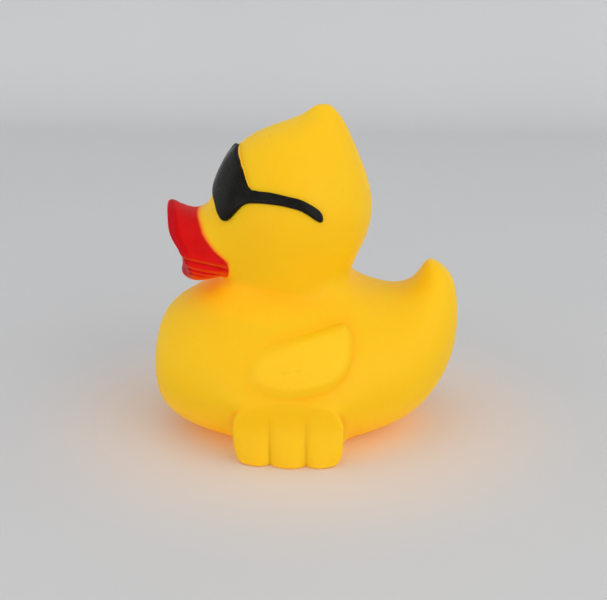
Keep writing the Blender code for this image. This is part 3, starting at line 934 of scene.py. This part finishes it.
def soft_vinyl():
    """Yellow vinyl, sprayed red on the bill with a soft orange edge, and with a painted glow under the bill
    and where it faces down.
    """
    made, nodes, links, shader = shader_of("yellow_vinyl")
    chin_glow = spot(nodes, links, *CHIN_GLOW)
    yellow = vinyl_colour(nodes, links, chin_glow)
    worn = noise_mask(nodes, links, 260.0, 0.35, 0.65)
    # Painted shade: the lip's front face, beyond its groove, is a darker red
    rim = attribute_above(nodes, links, "lip", LIP_GROOVE_STEP, LIP_GROOVE_STEP + 0.4)
    red = mixed(nodes, links, rim, mixed(nodes, links, worn, *BILL_RED), PAINTED_LIP_SHADE_RED)
    orange_edge = attribute_above(nodes, links, "red_paint", -1.2, 0.6, wobble=0.6)
    sprayed = mixed(nodes, links, orange_edge, yellow, SPRAY_ORANGE)
    red_edge = attribute_above(nodes, links, "red_paint", 0.0, 0.9, wobble=0.35)
    links.new(mixed(nodes, links, red_edge, sprayed, red), shader.inputs["Base Color"])
    links.new(ranged(nodes, links, worn, (0.40, 0.50)), shader.inputs["Roughness"])
    links.new(ranged(nodes, links, red_edge, (0.13, 0.06)), shader.inputs["Specular IOR Level"])
    # Painted glow under the bill and on faces that point down
    facing_down = attribute_above(nodes, links, "under", 0.0, 1.0)
    under_bill = ranged(nodes, links, chin_glow, (0.0, VINYL_GLOW_STRENGTH[0]))
    under_body = ranged(nodes, links, facing_down, (0.0, VINYL_GLOW_STRENGTH[1]))
    links.new(larger(nodes, links, under_bill, under_body), shader.inputs["Emission Strength"])
    shader.inputs["Emission Color"].default_value = (*VINYL_GLOW, 1.0)
    shader.inputs["Subsurface Weight"].default_value = 0.7
    shader.inputs["Subsurface Radius"].default_value = (1.0, 0.45, 0.1)
    shader.inputs["Subsurface Scale"].default_value = 2.6 * MM
    shader.inputs["IOR"].default_value = 1.47
    peel = noise_mask(nodes, links, 1400.0, 0.0, 1.0, detail=2.0)
    bumped(nodes, links, shader, peel, 0.06, 0.1 * MM)
    return made


def satin_black():
    """Black paint of the sunglasses, with bare vinyl low on the side walls."""
    made, nodes, links, shader = shader_of("satin_black")
    patchy = noise_mask(nodes, links, 420.0, 0.4, 0.7)
    black = mixed(nodes, links, patchy, *GLASSES_BLACK)
    wall = attribute_above(nodes, links, "bare_vinyl", 0.18, 0.30, wobble=0.1)
    foot = attribute_above(nodes, links, "bare_vinyl", 0.86, 0.98, wobble=0.1)
    walled = mixed(nodes, links, wall, black, BARE_WALL)
    links.new(mixed(nodes, links, foot, walled, WALL_FOOT), shader.inputs["Base Color"])
    links.new(ranged(nodes, links, patchy, (0.24, 0.34)), shader.inputs["Roughness"])
    shader.inputs["IOR"].default_value = 1.5
    shader.inputs["Specular IOR Level"].default_value = 0.10
    peel = noise_mask(nodes, links, 1100.0, 0.0, 1.0, detail=2.0)
    bumped(nodes, links, shader, peel, 0.12, 0.1 * MM)
    return made


def plain_paper():
    """Pale paper of the floor and backdrop, with painted warm bounce light and a painted orange glow round
    the duck.
    """
    made, nodes, links, shader = shader_of("pale_paper")
    paper = mixed(nodes, links, noise_mask(nodes, links, 6.0, 0.3, 0.7), *PAPER)
    away = distance_of(nodes, links, place_on_piece(nodes))
    # Painted warm bounce light and a painted orange glow round the duck
    painted_bounce = ranged(nodes, links, away, (0.0, 1.0), PAINTED_BOUNCE_REACH[::-1], "SMOOTHERSTEP")
    glow = ranged(nodes, links, away, (0.0, FLOOR_GLOW_STRENGTH), PAINTED_GLOW_REACH[::-1], "SMOOTHSTEP")
    links.new(mixed(nodes, links, painted_bounce, paper, PAINTED_BOUNCE_PAPER), shader.inputs["Base Color"])
    links.new(glow, shader.inputs["Emission Strength"])
    shader.inputs["Emission Color"].default_value = (*FLOOR_GLOW, 1.0)
    shader.inputs["Roughness"].default_value = 0.7
    return made


def paper_sweep(paper):
    """A floor that bends up into a backdrop behind the duck."""
    bm = bmesh.new()
    bmesh.ops.create_grid(bm, x_segments=1, y_segments=1, size=SWEEP_HALF)
    for corner in bm.verts:
        corner.co.y = SWEEP_BEND if corner.co.y > 0.0 else -SWEEP_HALF
    rear = [edge for edge in bm.edges if all(corner.co.y > 0.0 for corner in edge.verts)]
    turned = bmesh.ops.spin(
        bm,
        geom=rear,
        cent=(0.0, SWEEP_BEND, SWEEP_RADIUS),
        axis=(1.0, 0.0, 0.0),
        angle=math.pi / 2.0,
        steps=SWEEP_STEPS,
    )["geom_last"]
    upper = [item for item in turned if isinstance(item, bmesh.types.BMEdge)]
    raised = bmesh.ops.extrude_edge_only(bm, edges=upper)["geom"]
    for corner in [item for item in raised if isinstance(item, bmesh.types.BMVert)]:
        corner.co.z += SWEEP_HALF
    return object_from(bm, "paper_sweep", (paper,))


def area_light(name, place, aim, size, power):
    light = bpy.data.lights.new(name, "AREA")
    light.shape = "RECTANGLE"
    light.size, light.size_y = size
    light.energy = power
    obj = bpy.data.objects.new(name, light)
    obj.location = place
    obj.rotation_mode = "QUATERNION"
    obj.rotation_quaternion = (Vector(aim) - Vector(place)).to_track_quat("-Z", "Y")
    bpy.context.scene.collection.objects.link(obj)


def aim_camera():
    """The camera, at its angle and distance from the target."""
    camera = bpy.data.cameras.new("camera")
    camera.lens = CAMERA_LENS
    camera.clip_start = 0.01
    obj = bpy.data.objects.new("camera", camera)
    turn, rise = CAMERA_AZIMUTH, CAMERA_ELEVATION
    back = Vector((math.sin(turn) * math.cos(rise), -math.cos(turn) * math.cos(rise), math.sin(rise)))
    obj.location = CAMERA_TARGET + back * CAMERA_DISTANCE
    obj.rotation_mode = "QUATERNION"
    obj.rotation_quaternion = (-back).to_track_quat("-Z", "Y")
    bpy.context.scene.collection.objects.link(obj)
    bpy.context.scene.camera = obj


def studio():
    """Soft light, the paper sweep and the camera."""
    scene = bpy.context.scene
    for obj in list(bpy.data.objects):
        if obj.type in ("LIGHT", "CAMERA") or obj.name == "Cube":
            bpy.data.objects.remove(obj)
    scene.view_settings.view_transform = "Standard"
    scene.view_settings.look = "None"
    world = scene.world or bpy.data.worlds.new("studio_air")
    scene.world = world
    world.use_nodes = True
    air = world.node_tree.nodes["Background"]
    air.inputs["Color"].default_value = (*STUDIO_AIR, 1.0)
    air.inputs["Strength"].default_value = STUDIO_AIR_STRENGTH
    for softbox in SOFTBOXES:
        area_light(*softbox)
    paper_sweep(plain_paper())
    aim_camera()


def dress_duck():
    """The duck's skin and its sunglasses, in place of the casting."""
    vinyl = soft_vinyl()
    bm = rounded_skin()
    glasses = sunglasses(Skin(bm), satin_black())
    mark_paint(bm)
    ripple_mouth(bm)
    raise_wings(bm)
    carve_toes(bm)
    flatten_sole(bm)
    mark_creases(bm)
    pierce_sole(bm)
    skin = object_from(bm, "duck_skin", (vinyl,))
    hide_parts("duck")
    for piece in (skin, glasses):
        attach(piece, "root")


studio()
dress_duck()
